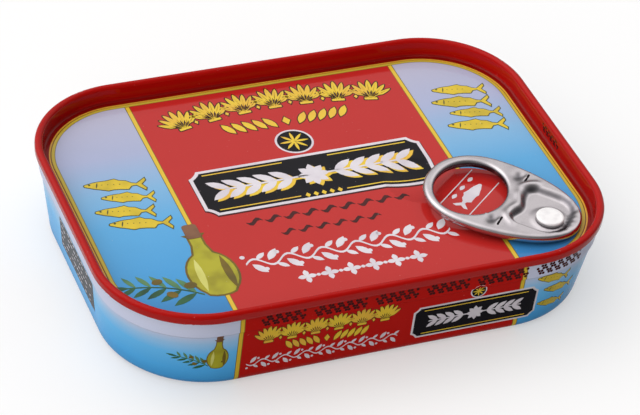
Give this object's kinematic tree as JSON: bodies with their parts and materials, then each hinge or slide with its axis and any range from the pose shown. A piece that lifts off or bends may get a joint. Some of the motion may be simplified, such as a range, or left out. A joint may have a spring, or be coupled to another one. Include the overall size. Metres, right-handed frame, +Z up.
{
  "type": "fish tin",
  "caption": "Flat rectangular fish tin, shut, with a seamed easy-open lid, a ring-pull at one corner and printed metal sides.",
  "frame": {"origin": "middle of the base, on the surface that the tin stands on", "axes": "+X along the long side, towards the ring-pull's corner; +Y towards the back long side; +Z up through the lid"},
  "size_m": [0.105, 0.077, 0.0198],
  "materials": {
    "printed_body": "gloss lacquer over print",
    "printed_lid": "gloss lacquer over print",
    "bare_steel": "bright bare metal",
    "rivet_metal": "bright bare metal"
  },
  "bodies": {
    "root": {"can_body": "printed_body", "lid": "printed_lid", "pull_tab": "bare_steel", "rivet": "rivet_metal"}
  },
  "joints": []
}
